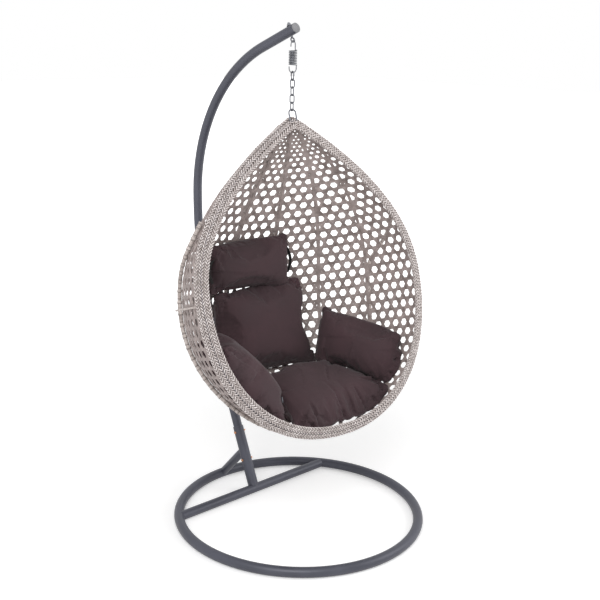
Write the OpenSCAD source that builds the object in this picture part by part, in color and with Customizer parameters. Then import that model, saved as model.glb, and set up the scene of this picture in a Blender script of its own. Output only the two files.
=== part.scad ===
// Hanging egg chair: a ring stand with a swept pole, a spring and chain, and a woven egg basket
// with a braided rim and a set of loose cushions. Millimetres, Z up, the floor at Z = 0 and the
// stand's mirror plane at X = 0. The basket hangs turned by basket_turn about the hanging line.

/* [Stand] */
// centreline radius of the floor ring
ring_r = 495; // [450:5:540]
// outside diameter of the floor ring's tube
ring_tube_d = 40; // [34:1:46]
// wall of every stand tube
tube_wall = 2; // [1.5:0.1:2.5]
// distance of the cross bar behind the ring's centre
bar_y = 279; // [250:1:300]
// outside diameter of the cross bar and of the rear brace
bar_d = 38; // [32:1:40]
// lean of the socket and of the lower pole, from upright
pole_lean = 23.5; // [21:0.1:26]
// outside diameter of the lower pole
pole_d = 38; // [34:1:40]
// wall of the socket tube
socket_wall = 3; // [2.5:0.1:4]
// height of the socket's mouth
socket_top = 274; // [255:1:290]
// height at which the brace meets the socket
brace_z = 176; // [160:1:185]
// rearmost reach of the pole behind the ring's centre
pole_back = 673; // [660:1:690]
// height at which the pole stands upright before it curves forward
pole_turn_z = 1275; // [1250:1:1300]
// radius of the pole's forward bend
bend_r = 660; // [640:1:680]
// angle turned by the forward bend
bend_a = 68; // [66:0.5:70]

/* [Hanging gear] */
// distance of the hanging line behind the ring's centre
hang_y = 91; // [85:1:97]
// turn of the basket against the stand
basket_turn = -12; // [-30:1:30]
// wire of the eye bolt's eye
eye_wire = 5.5; // [5:0.5:6]
// wire of the spring
spring_wire = 4.5; // [4:0.1:4.8]
// outside diameter of the spring
spring_d = 36; // [32:1:40]
// turns of the spring's coil
spring_turns = 9; // [7:1:10]
// wire of the chain links
link_wire = 5; // [4.5:0.1:5.2]
// outside length of a chain link
link_l = 38.6; // [37:0.1:40]
// outside width of a chain link
link_w = 23; // [21:0.5:26]

/* [Basket] */
// backward lean of the rim's plane
rim_lean = 18; // [15:0.5:21]
// half width of the basket at its widest
egg_w = 498; // [460:2:520]
// depth of the basket behind the rim at its deepest
egg_d = 590; // [550:5:610]
// distance from the tip to the widest level
wide_v = 669; // [640:1:700]
// distance from the tip to the deepest level
deep_v = 760; // [730:5:790]
// distance from the tip to the bottom
egg_h = 1238; // [1180:2:1260]
// thickness of the woven wall
shell_t = 4; // [3:0.5:5]
// width of the braided band over the rim
braid_w = 56; // [48:1:60]
// thickness of the braided band
braid_t = 19; // [17:0.5:20]
// slant of the braided band against the rim's plane
braid_slant = 30; // [22:1:36]
// diameter of the steel rod inside the rim
rim_tube_d = 10; // [8:0.5:12]
// diameter of a wrapped rib
rib_d = 20; // [16:0.5:21]
// diameter of the rear hoop
hoop_d = 8; // [6:0.5:10]

/* [Cushions] */
// thickness of the seat cushion
seat_t = 140; // [110:2:150]
// thickness of the back cushion
back_t = 125; // [100:1:135]
// thickness of the arm cushions
arm_t = 140; // [110:2:150]
// thickness of the head pillow
pillow_t = 95; // [70:1:100]

/* [Hidden] */
$fn = 64;
fit = 0.3;
steel = [0.30, 0.30, 0.34];
zinc = [0.62, 0.63, 0.66];
cane = [0.70, 0.65, 0.61];
cloth = [0.16, 0.11, 0.12];

// ---------- stand: derived sizes ----------
bar_z = ring_tube_d / 2;
bar_half = sqrt(ring_r * ring_r - bar_y * bar_y);
foot_y = bar_y + 4;
sl = sin(pole_lean);
cl = cos(pole_lean);
socket_d = pole_d + 2 * fit + 2 * socket_wall;
socket_len = (socket_top - bar_z) / cl;
brace_y = foot_y + (brace_z - bar_z) * sl / cl;
sweep_det = sl * sl - cl * (1 - cl);
sweep_r = (sl * (pole_turn_z - bar_z) - cl * (pole_back - foot_y)) / sweep_det;
straight_l = (pole_turn_z - bar_z - sweep_r * sl) / cl;
upper_d = pole_d;
bend_y = pole_back - bend_r;
tip_y0 = bend_y + bend_r * cos(bend_a);
tip_z0 = pole_turn_z + fit + bend_r * sin(bend_a);
eye_r = 8.25;
eye_drop = upper_d / 2 + 16;
bolt_s = (tip_y0 - hang_y - (eye_drop + eye_r) * cos(bend_a)) / sin(bend_a);
tip_l = bolt_s + 30;
bolt_y = tip_y0 - bolt_s * sin(bend_a);
bolt_z = tip_z0 + bolt_s * cos(bend_a);
eye_low_z = bolt_z - (eye_drop + eye_r) * sin(bend_a);

// ---------- hanging gear: derived heights ----------
hook_z = eye_low_z + eye_wire / 2 + spring_wire / 2 + fit;
spring_r = (spring_d - spring_wire) / 2;
spring_pitch = spring_wire + 1.4;
leg_top = 19;
leg_l = 14;
coil_top = hook_z - spring_r - leg_top;
coil_low = coil_top - spring_turns * spring_pitch;
hook_low_z = coil_low - leg_l - spring_r;
link_half = link_l / 2 - link_wire / 2;
link_z1 = hook_low_z + spring_wire / 2 + link_wire / 2 + fit - link_half;
link_step = 2 * link_half - link_wire - fit;
link_bottom = link_z1 - 4 * link_step - link_half;
eye_top_z = link_bottom + link_wire / 2 + 3 + fit;
apex_z = eye_top_z - 16;

// ---------- basket: derived sizes ----------
tip_v = 8;
top_pow = 2.1;
low_pow = 2.18;
rear_pow = 1.75;
top_rear_pow = 1.7;
band_in = 18.5;
edge_u = (braid_w - braid_t) / 2 * sin(braid_slant) + braid_t / 2 + fit;
shell_h = egg_h - 16;

// ---------- small helpers ----------
module place_bolt_line() {
  translate([0, bolt_y, bolt_z]) rotate([bend_a - 90, 0, 0]) children();
}

module place_socket() {
  translate([0, foot_y, bar_z]) rotate([-pole_lean, 0, 0]) children();
}

module place_gear(z) {
  translate([0, hang_y, z]) rotate([0, 0, basket_turn]) children();
}

module place_basket() {
  translate([0, hang_y, apex_z]) rotate([0, 0, basket_turn]) rotate([-rim_lean, 0, 0]) children();
}

module pipe(d, wall, l) {
  linear_extrude(height = l) difference() {
    circle(d = d);
    circle(d = d - 2 * wall);
  }
}

module wire_bend(r, wire, a) {
  rotate_extrude(angle = a) translate([r, 0]) circle(d = wire, $fn = 24);
}

// closed skin through rings of equal length: open ends are capped, a loop is joined to itself
module loft(rings, loop = false) {
  n = len(rings[0]);
  m = len(rings);
  pts = [for (r = rings) each r];
  last = loop ? m : m - 1;
  sides = [for (i = [0:last - 1]) for (j = [0:n - 1]) each
    let (a = i * n + j, b = i * n + (j + 1) % n, c = ((i + 1) % m) * n + j,
         d = ((i + 1) % m) * n + (j + 1) % n) [[a, b, d], [a, d, c]]];
  ends = loop ? [] : [[for (j = [n - 1:-1:0]) j], [for (j = [0:n - 1]) (m - 1) * n + j]];
  polyhedron(points = pts, faces = concat(sides, ends), convexity = 8);
}

// two-sided strips are capped quad by quad, since their end rings are bent
module loft_strip(rings) {
  n = len(rings[0]);
  m = len(rings);
  h = n / 2;
  pts = [for (r = rings) each r];
  sides = [for (i = [0:m - 2]) for (j = [0:n - 1]) each
    let (a = i * n + j, b = i * n + (j + 1) % n, c = (i + 1) * n + j,
         d = (i + 1) * n + (j + 1) % n) [[a, b, d], [a, d, c]]];
  k = (m - 1) * n;
  cap0 = [for (j = [0:h - 2]) each [[j + 1, j, n - 1 - j], [j + 1, n - 1 - j, n - 2 - j]]];
  cap1 = [for (j = [0:h - 2]) each
    [[k + j, k + j + 1, k + n - 1 - j], [k + j + 1, k + n - 2 - j, k + n - 1 - j]]];
  polyhedron(points = pts, faces = concat(sides, cap0, cap1), convexity = 8);
}

function unit(a) = a / norm(a);

// rings of a round tube about a path, each square to the path, turned as little as possible
function frame_up(path, i, up) = let (
    n = len(path),
    t = unit(path[min(i + 1, n - 1)] - path[max(i - 1, 0)]),
    s = unit(up - (up * t) * t)
  ) [t, s, cross(t, s)];

function carried(path, up, i = 0, acc = []) = i >= len(path) ? acc :
  let (f = frame_up(path, i, up)) carried(path, f[1], i + 1, concat(acc, [f]));

function tube_rings(path, r, sides, up) = let (fr = carried(path, up))
  [for (i = [0:len(path) - 1]) [for (k = [0:sides - 1]) let (q = k * 360 / sides)
    path[i] + r * cos(q) * fr[i][1] - r * sin(q) * fr[i][2]]];

// ---------- stand ----------
module base_ring() {
  color(steel) translate([0, 0, bar_z]) rotate_extrude($fn = 96) translate([ring_r, 0]) {
    difference() {
      circle(d = ring_tube_d, $fn = 40);
      circle(d = ring_tube_d - 2 * tube_wall, $fn = 40);
    }
  }
}

module ring_clear() {
  translate([0, 0, bar_z]) rotate_extrude($fn = 96) translate([ring_r, 0])
    circle(d = ring_tube_d + 2 * fit, $fn = 40);
}

module cross_bar() {
  color(steel) difference() {
    translate([-bar_half, bar_y, bar_z]) rotate([0, 90, 0]) pipe(bar_d, tube_wall, 2 * bar_half);
    ring_clear();
  }
}

module post_socket() {
  color(steel) difference() {
    place_socket() pipe(socket_d, socket_wall, socket_len);
    translate([-60, bar_y, bar_z]) rotate([0, 90, 0]) cylinder(d = bar_d + 2 * fit, h = 120);
    bolt_holes();
  }
}

module rear_brace() {
  run = [0, brace_y - ring_r, brace_z - bar_z];
  color(steel) difference() {
    translate([0, ring_r, bar_z]) rotate([atan2(ring_r - brace_y, brace_z - bar_z), 0, 0])
      pipe(bar_d - 2, tube_wall, norm(run));
    ring_clear();
    place_socket() cylinder(d = socket_d + 2 * fit, h = socket_len);
  }
}

module bolt_holes() {
  for (s = bolt_at) place_socket() translate([-40, 0, s]) rotate([0, 90, 0])
    cylinder(d = 6.6, h = 80, $fn = 24);
}

bolt_at = [socket_len - 24, socket_len - 148];

module pole_lower() {
  color(steel) difference() {
    union() {
      place_socket() translate([0, 0, 62]) pipe(pole_d, tube_wall, straight_l - 62);
      place_socket() translate([0, -sweep_r, straight_l]) rotate([0, 90, 0]) rotate([0, 0, 90])
        rotate_extrude(angle = pole_lean, $fn = 160) translate([sweep_r, 0]) pole_ring();
    }
    bolt_holes();
  }
}

module pole_ring() {
  difference() {
    circle(d = pole_d, $fn = 40);
    circle(d = pole_d - 2 * tube_wall, $fn = 40);
  }
}

// plain tube inside both lengths of pole where they meet
module pole_sleeve() {
  color(steel) translate([0, pole_back, pole_turn_z - 28])
    pipe(pole_d - 2 * tube_wall - 1.2, tube_wall, 50);
}

module pole_upper() {
  color(steel) difference() {
    translate([0, tip_y0, tip_z0]) rotate([bend_a, 0, 0]) {
      pipe(upper_d, tube_wall, tip_l);
      mirror([0, 0, 1]) translate([0, -bend_r, 0]) rotate([0, 90, 0]) rotate([0, 0, 90])
        rotate_extrude(angle = bend_a, $fn = 160) translate([bend_r, 0]) pole_ring();
    }
    place_bolt_line() translate([0, 0, -40]) cylinder(d = 8.6, h = 80, $fn = 32);
  }
}

module pole_cap() {
  color(steel) translate([0, tip_y0, tip_z0]) rotate([bend_a, 0, 0]) {
    translate([0, 0, tip_l + fit]) cylinder(d = upper_d, h = 3);
    translate([0, 0, tip_l - 14]) pipe(upper_d - 2 * tube_wall - 2 * fit, 2, 15);
  }
}

module socket_bolts() {
  color([0.62, 0.36, 0.22]) for (s = bolt_at) place_socket() translate([0, 0, s])
    rotate([0, 90, 0]) {
      translate([0, 0, -socket_d / 2 - fit]) cylinder(d = 6, h = socket_d + 10, $fn = 24);
      translate([0, 0, -socket_d / 2 - fit - 4]) cylinder(d = 11.5, h = 4, $fn = 6);
    }
}

module socket_nuts() {
  color([0.62, 0.36, 0.22]) for (s = bolt_at) place_socket() translate([0, 0, s])
    rotate([0, 90, 0]) translate([0, 0, socket_d / 2 + fit]) difference() {
      cylinder(d = 11.5, h = 5, $fn = 6);
      translate([0, 0, -1]) cylinder(d = 6.2, h = 7, $fn = 24);
    }
}

module eyebolt() {
  color(zinc) place_bolt_line() {
    translate([0, 0, -eye_drop]) rotate([90, 0, 0]) wire_bend(eye_r, eye_wire, 360);
    translate([0, 0, eye_r - eye_drop + 1]) cylinder(d = 8, h = eye_drop + upper_d / 2 + 4);
  }
}

module eyebolt_washer() {
  color(zinc) place_bolt_line() translate([0, 0, upper_d / 2 + fit]) difference() {
    cylinder(d = 20, h = 1.6, $fn = 48);
    translate([0, 0, -1]) cylinder(d = 8.4, h = 4, $fn = 48);
  }
}

module eyebolt_nut() {
  color(zinc) place_bolt_line() translate([0, 0, upper_d / 2 + 2 * fit + 1.6]) difference() {
    cylinder(d = 15, h = 6.5, $fn = 6);
    translate([0, 0, -1]) cylinder(d = 8.2, h = 9, $fn = 48);
  }
}

// ---------- spring ----------
coil_steps = spring_turns * 8;
upper_hook = concat(
  [[0, spring_r, coil_top + leg_top - 7], [0, spring_r, coil_top + leg_top - 2]],
  [for (q = [15:15:165]) [0, spring_r * cos(q), coil_top + leg_top + spring_r * sin(q)]],
  [for (z = [leg_top, leg_top * 0.6, 5]) [0, -spring_r, coil_top + z]],
  [[0.4, -spring_r, coil_top + 2.6], [2.2, -spring_r + 0.1, coil_top + 1]]);
coil_path = [for (i = [1:coil_steps - 1]) let (q = -90 + i * 45)
  [spring_r * cos(q), spring_r * sin(q), coil_top - spring_pitch * (i / 8)]];
last_q = -90 + coil_steps * 45;
lower_hook_y = concat(
  [[-2.2, 0.1, 2.2], [-0.4, 0, 3.9]],
  [for (z = [6.2, leg_l * 0.7, leg_l]) [0, 0, z]]);
lower_hook = concat(
  [for (p = lower_hook_y) [spring_r - p[1], p[0], coil_low - p[2]]],
  [for (q = [15:15:165]) [spring_r * cos(q), 0, coil_low - leg_l - spring_r * sin(q)]],
  [[-spring_r, 0, coil_low - leg_l + 3], [-spring_r, 0, coil_low - leg_l + 8]]);
quarter = [for (q = [0, 45]) [spring_r * cos(q - 90), spring_r * sin(q - 90),
  coil_low - spring_pitch * q / 360]];
spring_path = concat(upper_hook, coil_path, quarter, lower_hook);
spring_gaps = [for (i = [0:len(spring_path) - 1]) for (j = [i + 6:1:len(spring_path) - 1])
  norm(spring_path[i] - spring_path[j]) - spring_wire];
echo("least gap between two turns of the spring", min(spring_gaps));

module spring() {
  color(zinc) place_gear(0) loft(tube_rings(spring_path, spring_wire / 2, 6, [1, 0, 0]));
}

// ---------- chain ----------
module link_shape() {
  r = (link_w - link_wire) / 2;
  s = link_half - r;
  for (k = [0, 1]) rotate([0, k * 180, 0]) {
    translate([0, 0, s]) rotate([90, 0, 0]) wire_bend(r, link_wire, 180);
    translate([r, 0, -s]) cylinder(d = link_wire, h = 2 * s, $fn = 24);
  }
}

module chain_link(k) {
  color(zinc) place_gear(link_z1 - (k - 1) * link_step) rotate([0, 0, k % 2 == 1 ? 90 : 0])
    link_shape();
}

// ---------- basket surfaces ----------
function half_w(v) = v <= wide_v ?
  egg_w * (1 - pow(max(0, 1 - (v - tip_v) / (wide_v - tip_v)), top_pow)) :
  egg_w * pow(max(0, 1 - pow((v - wide_v) / (shell_h - wide_v), low_pow)), 1 / low_pow);
function raw_depth(v) = v <= deep_v ?
  egg_d * pow(max(0, 1 - pow(max(0, 1 - v / deep_v), top_rear_pow)), 1.2) :
  egg_d * pow(max(0, 1 - pow((v - deep_v) / (shell_h - deep_v), rear_pow)), 1 / rear_pow);
function depth(v) = let (h = 30 * min(1, max(0, v - 40) / 400, max(0, shell_h - v) / 330))
  [1, 2, 3, 2, 1] * [for (k = [-2:2]) raw_depth(v + k * h)] / 9;
function on_egg(v, a) = [half_w(v) * sin(a), depth(v) * cos(a), -v];
function off_egg(v, a) =
  unit(cross(on_egg(v, a + 0.2) - on_egg(v, a - 0.2), on_egg(v + 0.5, a) - on_egg(v - 0.5, a)));
function egg_at(v, a, out) = on_egg(v, a) + out * off_egg(v, a);
function v_at_depth(d) = deep_v + (shell_h - deep_v) * pow(1 - pow(d / egg_d, rear_pow), 1 / rear_pow);

// the wall is a lattice: every third row and column of cells is a bar, the rest is open
holes_across = 12;
holes_up = 10;
shell_rows = 3 * holes_up + 1;
shell_cols = 3 * holes_across + 1;
function v_above(d) = deep_v * (1 - pow(1 - pow(d / egg_d, 1 / 1.2), 1 / top_rear_pow));
shell_v0 = v_above(edge_u + 8);
shell_v1 = v_at_depth(30);
function row_v(i, n, a, b) = a + (b - a) * (1 - cos(180 * i / n)) / 2;

function cell_solid(i, j) = i >= 0 && j >= 0 && i < shell_rows && j < shell_cols
  && (i % 3 == 0 || j % 3 == 0);
function shell_id(i, j, face) = 2 * (i * (shell_cols + 1) + j) + face;
function quad(a, b, c, d) = [[a, b, c], [a, c, d]];
function flipped(faces) = [for (f = faces) [f[2], f[1], f[0]]];
function shell_skin(i, j, face) =
  quad(shell_id(i, j, face), shell_id(i, j + 1, face),
    shell_id(i + 1, j + 1, face), shell_id(i + 1, j, face));
function shell_edge(i1, j1, i2, j2) =
  quad(shell_id(i1, j1, 0), shell_id(i1, j1, 1), shell_id(i2, j2, 1), shell_id(i2, j2, 0));

module woven_shell() {
  points = [for (i = [0:shell_rows]) let (v = row_v(i, shell_rows, shell_v0, shell_v1),
      e = acos(edge_u / depth(v))) for (j = [0:shell_cols], face = [-1, 1])
    egg_at(v, -e + 2 * e * j / shell_cols, face * shell_t / 2)];
  faces = [for (i = [0:shell_rows - 1], j = [0:shell_cols - 1]) if (cell_solid(i, j)) each concat(
    shell_skin(i, j, 0), flipped(shell_skin(i, j, 1)),
    cell_solid(i - 1, j) ? [] : shell_edge(i, j, i, j + 1),
    cell_solid(i + 1, j) ? [] : shell_edge(i + 1, j + 1, i + 1, j),
    cell_solid(i, j - 1) ? [] : shell_edge(i + 1, j, i, j),
    cell_solid(i, j + 1) ? [] : shell_edge(i, j + 1, i + 1, j + 1))];
  color(cane) place_basket() polyhedron(points, faces, convexity = 10);
}

// the rim's centreline: right half from the tip down, then the left half back up
rim_half = 24;
function rim_base(i) = i <= 12 ?
  let (v = tip_v + (wide_v - tip_v) * i / 12) [half_w(v), v] :
  let (q = (i - 12) * 90 / 12) [egg_w * pow(max(0, cos(q)), 2 / low_pow),
    wide_v + (egg_h - wide_v) * pow(sin(q), 2 / low_pow)];
function rim_dir(i) = i == 0 ? [1, 0] : i == rim_half ? [-1, 0] :
  unit(unit(rim_base(i + 1) - rim_base(i)) + unit(rim_base(i) - rim_base(i - 1)));
tip_half_a = atan2(rim_base(1)[0], rim_base(1)[1] - tip_v);
function rim_stretch(i) = i == 0 ? 1 / sin(tip_half_a) : 1;
function rim_row(i) = let (t = rim_dir(i), n = [t[1], -t[0]], k = rim_stretch(i),
    p = rim_base(i) - band_in * k * n)
  [[p[0], 0, -p[1]], [n[0], 0, -n[1]] * k, 1];
function mirror_row(r) = [[-r[0][0], 0, r[0][2]], [-r[1][0], 0, r[1][2]], 1];
rim_rows = concat([for (i = [0:rim_half]) rim_row(i)],
  [for (i = [rim_half - 1:-1:1]) mirror_row(rim_row(i))]);
core = (braid_w - braid_t) / 2;
band_section = concat(
  [for (q = [-90:36:90]) [core + braid_t / 2 * cos(q), braid_t / 2 * sin(q)]],
  [for (q = [90:36:270]) [-core + braid_t / 2 * cos(q), braid_t / 2 * sin(q)]]);
function round_section(d, n) = [for (k = [0:n - 1]) d / 2 * [cos(k * 360 / n), sin(k * 360 / n)]];
function rim_rings(section, slant) = [for (r = rim_rows) [for (p = section)
  r[0] + (p[0] * cos(slant) - p[1] * sin(slant)) * r[1]
    + [0, p[0] * sin(slant) + p[1] * cos(slant), 0]]];

module rim_tube() {
  color(steel) place_basket() loft(rim_rings(round_section(rim_tube_d, 10), 0), loop = true);
}

module rim_braid() {
  color([0.82, 0.79, 0.76]) difference() {
    place_basket() loft(rim_rings(band_section, braid_slant), loop = true);
    place_basket() loft(rim_rings(round_section(rim_tube_d + 2 * fit, 10), 0), loop = true);
    place_eye() for (s = [-1, 1]) translate([s * eye_bow, 0, -eye_leg - 6])
      cylinder(r = eye_wire_r + fit, h = eye_leg + 6, $fn = 12);
  }
}

rib_out = shell_t / 2 + fit + rib_d / 2;
side_join_v = 330;
function ease(t) = let (k = min(1, max(0, t))) k * k * (3 - 2 * k);
module rib(a) {
  side = abs(a) > 50;
  top = side ? side_join_v : 40;
  low = v_at_depth((edge_u + rib_d / 2 + 2) / cos(a));
  rows = [for (i = [0:shell_rows]) let (v = row_v(i, shell_rows, shell_v0, shell_v1))
    if (v > top && v < low) v];
  color(cane) place_basket() loft(tube_rings([for (v = rows)
    let (q = side ? 23 * (1 - ease((v - top) / 240)) : 0)
    egg_at(v, a + sign(a) * q, rib_out + (side ? 0.6 : 0))], rib_d / 2, 8, [1, 0, 0]));
}

hoop_v = 683;
hoop_far = rib_out + rib_d / 2 * cos(22.5) + 2 * fit + hoop_d / 2 * cos(15);
hoop_near = shell_t / 2 + hoop_d / 2 * cos(30);
function hoop_out(a) = let (k = min(1, max(0, (abs(a) - 66) / 14)))
  hoop_far + (hoop_near - hoop_far) * k * k * (3 - 2 * k);
module rear_hoop() {
  e = acos((edge_u + 1) / depth(hoop_v));
  color(cane) place_basket() loft(tube_rings([for (i = [0:40])
    let (a = -e + 2 * e * i / 40) egg_at(hoop_v, a, hoop_out(a))], hoop_d / 2, 6, [0, 0, 1]));
}

eye_wire_r = 3;
eye_bow = 15;
eye_leg = 29;
module place_eye() {
  place_gear(eye_top_z) rotate([-rim_lean, 0, 0]) translate([0, 0, -eye_bow]) children();
}

module hanging_eye() {
  color(zinc) place_eye() {
    rotate([90, 0, 0]) wire_bend(eye_bow, 2 * eye_wire_r, 180);
    for (s = [-1, 1]) translate([s * eye_bow, 0, -eye_leg]) cylinder(r = eye_wire_r, h = eye_leg, $fn = 24);
  }
}

// ---------- cushions: soft pads laid on a four-cornered sheet, then pressed against the wall ----------
// sheet corners are given level, from the tip of the basket: right, rearward, up
function to_basket(q) = [q[0], q[1] * cos(rim_lean) - q[2] * sin(rim_lean),
  q[1] * sin(rim_lean) + q[2] * cos(rim_lean)];
drop = 1643;
function in_egg(q) = [q[0] * egg_w / 498, q[1] * egg_d / 590, q[2] * egg_h / 1238];
function sheet(c) = [for (q = c) in_egg(q)];
pad_gap = shell_t / 2 + 3.7;
lean_gap = shell_t / 2 + 2.4;
function sheet_at(c, s, t) = ((1 - s) * (1 + t) * c[0] + (1 + s) * (1 + t) * c[1]
  + (1 - s) * (1 - t) * c[2] + (1 + s) * (1 - t) * c[3]) / 4;
function sheet_out(c, s, t) = unit(cross(sheet_at(c, s + 0.1, t) - sheet_at(c, s - 0.1, t),
  sheet_at(c, s, t + 0.1) - sheet_at(c, s, t - 0.1)));
function puff(s, t, k) = pow(max(0, (1 - pow(abs(s), k)) * (1 - pow(abs(t), k))), 0.5);
function behind(q, walls, i = 0) = i >= len(walls) ? q :
  let (d = walls[i][0] * q - walls[i][1]) behind(d > 0 ? q - d * walls[i][0] : q, walls, i + 1);
function in_wall(p, gap = pad_gap) = let (v = -p[2], near = min(1, max(0, (36 - p[1]) / 12)),
    w = max(1, half_w(v) - gap - 46 * near), d = max(1, depth(v) - gap),
    k = sqrt(pow(p[0] / w, 2) + pow(max(0, p[1]) / d, 2))
  ) k > 1 ? [p[0] / k, p[1] / k, p[2]] : p;
function floor_v(x, u, lo, hi, n = 14) = n == 0 ? lo : let (m = (lo + hi) / 2,
    w = max(1, half_w(m) - pad_gap), d = max(1, depth(m) - pad_gap)
  ) pow(x / w, 2) + pow(u / d, 2) > 1 ? floor_v(x, u, lo, m, n - 1) : floor_v(x, u, m, hi, n - 1);
function on_floor(p) = let (v = floor_v(p[0], max(0, p[1]), 700, shell_h - pad_gap) - 2)
  [p[0], p[1], max(p[2], -v)];

// side 1 is the inner face of a pad, side -1 the face pressed on the wall
function pad_point(c, s, t, side, thick, k, pull, walls, low, gap = pad_gap, back = 1.7) = let (
    ss = s * (1 - pull * (1 - t * t)), tt = t * (1 - pull * (1 - s * s)),
    half = (hem + (thick - hem) * puff(s, t, k)) / 2 * (side < 0 ? back : 1),
    q = behind(sheet_at(c, ss, tt) + side * half * sheet_out(c, ss, tt), walls),
    p = to_basket(q)
  ) low ? on_floor(in_bowl(p)) : in_wall(p, gap);
function in_bowl(p) = let (q = in_wall([p[0], max(38, p[1]), max(p[2], -1120)])) [q[0], q[1], p[2]];
hem = 9;

module pad(c, thick, n, k, walls, low = false, gap = pad_gap, back = 1.7, pull = 0.025) {
  loft_strip([for (i = [0:n]) let (t = 1 - 2 * i / n) concat(
    [for (j = [0:n]) pad_point(c, -1 + 2 * j / n, t, 1, thick, k, pull, walls, low, gap, back)],
    [for (j = [n:-1:0]) pad_point(c, -1 + 2 * j / n, t, -1, thick, k, pull, walls, low, gap, back)])]);
}

// planes where two cushions press on each other: direction and distance, kept half a millimetre apart
function plane(n, q) = [unit(n), unit(n) * in_egg(q) - 0.25];
function far_side(w) = [-w[0], -w[1] - 0.5];
seat_right = plane([0.45, 0.1, 0.89], [170, 50, 620 - drop]);
seat_left = plane([-1, 0, 0.25], [-138, -200, 560 - drop]);
seat_rear = plane([0, 0.94, 0.34], [0, 60, 600 - drop]);
back_right = plane([0.72, -0.7, 0], [196, 101, 0]);
back_left = plane([-0.7, -0.72, 0], [-250, 50, 0]);
back_top = plane([0, -0.25, 0.97], [0, 180, 925 - drop]);

module seat_cushion() {
  color(cloth) place_basket() pad(seat_sheet, seat_t, 16, 3.4, [seat_right, seat_left, seat_rear], true);
}

module back_cushion() {
  color(cloth) place_basket() pad(back_sheet, back_t, 16, 3,
    [back_right, back_left, back_top, far_side(seat_rear)], gap = lean_gap);
}

module arm_cushion_left() {
  color(cloth) place_basket() pad(left_sheet, arm_t + 45, 16, 2.6,
    [far_side(seat_left), far_side(back_left)]);
}

module arm_cushion_right() {
  color(cloth) place_basket() pad(right_sheet, arm_t, 16, 2.6,
    [far_side(seat_right), far_side(back_right)]);
}

module head_pillow() {
  color(cloth) place_basket() pad(pillow_sheet, pillow_t, 16, 2.6, [far_side(back_top)],
    gap = lean_gap, back = 2.2);
}

seat_sheet = sheet([[-160, 62, 570 - drop], [262, 40, 590 - drop], [-125, -335, 482 - drop],
  [402, -296, 524 - drop]]);
back_sheet = sheet([[-250, 150, 926 - drop], [170, 205, 938 - drop], [-213, 106, 578 - drop],
  [215, 122, 578 - drop]]);
left_sheet = sheet([[-368, -215, 825 - drop], [-362, -20, 825 - drop], [-222, -350, 562 - drop],
  [-245, -20, 590 - drop]]);
right_sheet = sheet([[238, 95, 822 - drop], [400, -215, 762 - drop], [175, 60, 600 - drop],
  [402, -262, 556 - drop]]);
pillow_sheet = sheet([[-265, 150, 1112 - drop], [105, 205, 1126 - drop], [-268, 150, 924 - drop],
  [108, 190, 916 - drop]]);

// a webbing loop sewn to the pillow's end
module strap(s) {
  top = pad_point(pillow_sheet, s, 0.5, 1, pillow_t, 2.6, 0.025, [], false);
  low = pad_point(pillow_sheet, s, -0.5, 1, pillow_t, 2.6, 0.025, [], false);
  path = [for (i = [0:10]) let (t = i / 10) top + (low - top) * t
    + [s * ((s < 0 ? 2.2 : 1.2) + 17 * sin(180 * t)), -5, 0]];
  rings = [for (p = path) [p + [s * 0.9, -11, 0], p + [s * 0.9, 11, 0],
    p + [-s * 0.9, 11, 0], p + [-s * 0.9, -11, 0]]];
  color([0.05, 0.05, 0.05]) place_basket()
    loft(s > 0 ? rings : [for (r = rings) [r[3], r[2], r[1], r[0]]]);
}

module zip_pull() {
  at = pad_point(left_sheet, -0.75, -0.75, 1, arm_t + 45, 2.6, 0.025,
    [far_side(seat_left), far_side(back_left)], false);
  color([0.05, 0.05, 0.05]) place_basket() translate(at + [2, -4, -8]) cube([2.4, 7, 22], center = true);
}

base_ring();
cross_bar();
post_socket();
rear_brace();
pole_lower();
pole_sleeve();
pole_upper();
pole_cap();
socket_bolts();
socket_nuts();
eyebolt();
eyebolt_washer();
eyebolt_nut();
spring();
chain_link(1);  // chain_link_1
chain_link(2);  // chain_link_2
chain_link(3);  // chain_link_3
chain_link(4);  // chain_link_4
chain_link(5);  // chain_link_5
hanging_eye();
rim_tube();
rim_braid();
woven_shell();
rib(-60);  // rib_left_side
rib(-36);  // rib_left_mid
rib(-12);  // rib_left_back
rib(12);  // rib_right_back
rib(36);  // rib_right_mid
rib(60);  // rib_right_side
rear_hoop();
seat_cushion();
back_cushion();
arm_cushion_left();
arm_cushion_right();
head_pillow();
strap(-1);  // pillow_strap_left
strap(1);  // pillow_strap_right
zip_pull();
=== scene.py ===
# %% [markdown]
# # A hanging egg chair
# The CAD model is the frame that every piece is fitted to. It is loaded first, in metres, and its
# own solids stay where they are: a piece either keeps its CAD solid and gets a finish, or is
# dressed with a finer piece that stands for it.

# %% Load the frame
import bpy
import bmesh
import math
from mathutils import Matrix, Vector, noise
from mathutils.kdtree import KDTree


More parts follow.
